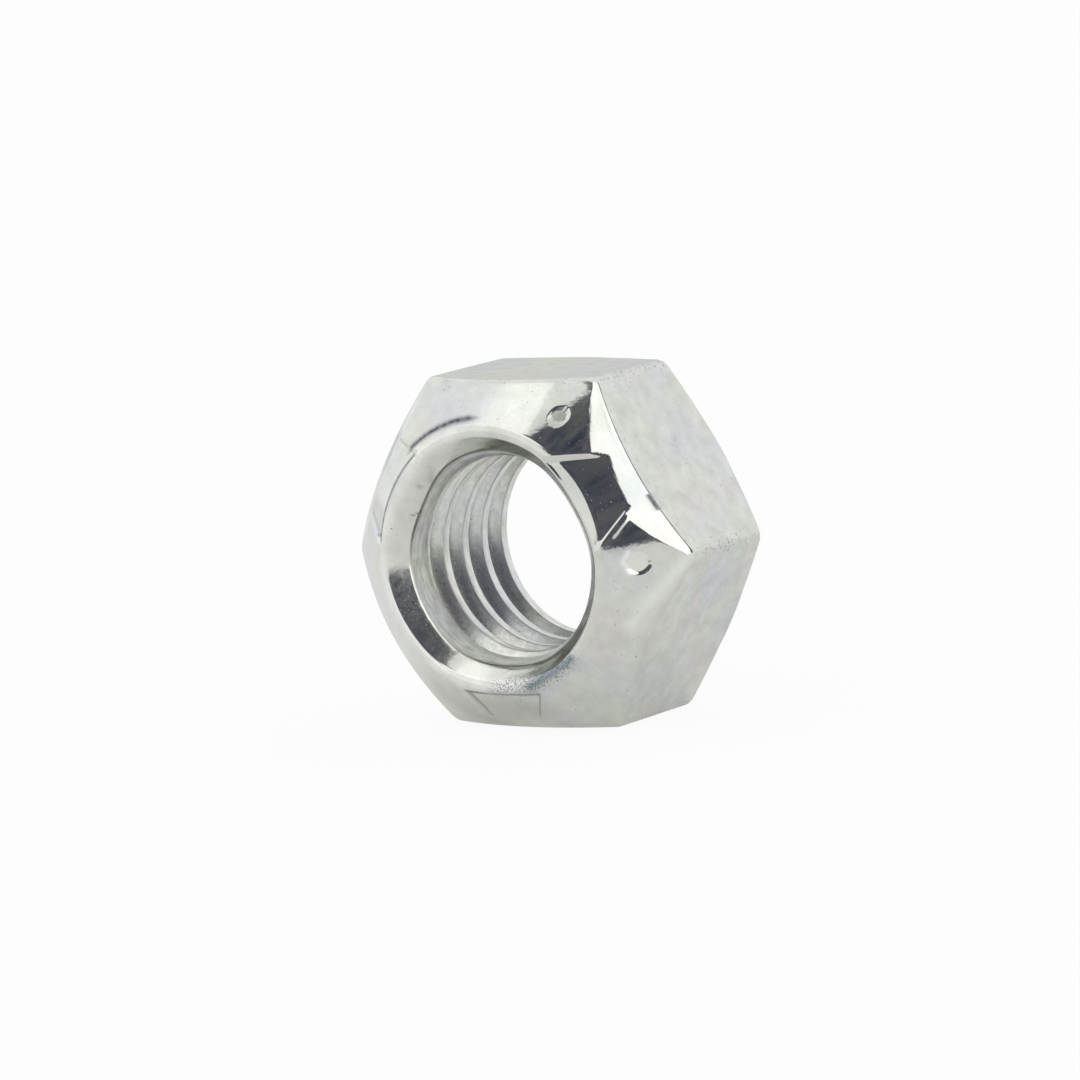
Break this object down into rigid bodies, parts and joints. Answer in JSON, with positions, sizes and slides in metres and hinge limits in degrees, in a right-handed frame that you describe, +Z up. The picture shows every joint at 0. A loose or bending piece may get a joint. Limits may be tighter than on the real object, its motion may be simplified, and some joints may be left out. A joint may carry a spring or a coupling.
{
  "type": "conical top hex lock nut",
  "caption": "Hexagonal all-metal lock nut with a conical crimped top and a coarse through thread, for holding a part on a threaded steering shaft.",
  "frame": {"origin": "centre of the flat that the nut stands on, halfway along the nut's height", "axes": "+Y along the thread axis, towards the bearing face; +Z up, square to the flat that the nut stands on"},
  "size_m": [0.0272, 0.0136, 0.0238],
  "materials": {
    "zinc_plated_steel": "bright zinc plating, satin on the flats and smoother on the cone"
  },
  "bodies": {
    "root": {"lock_nut": "zinc_plated_steel"}
  },
  "joints": []
}
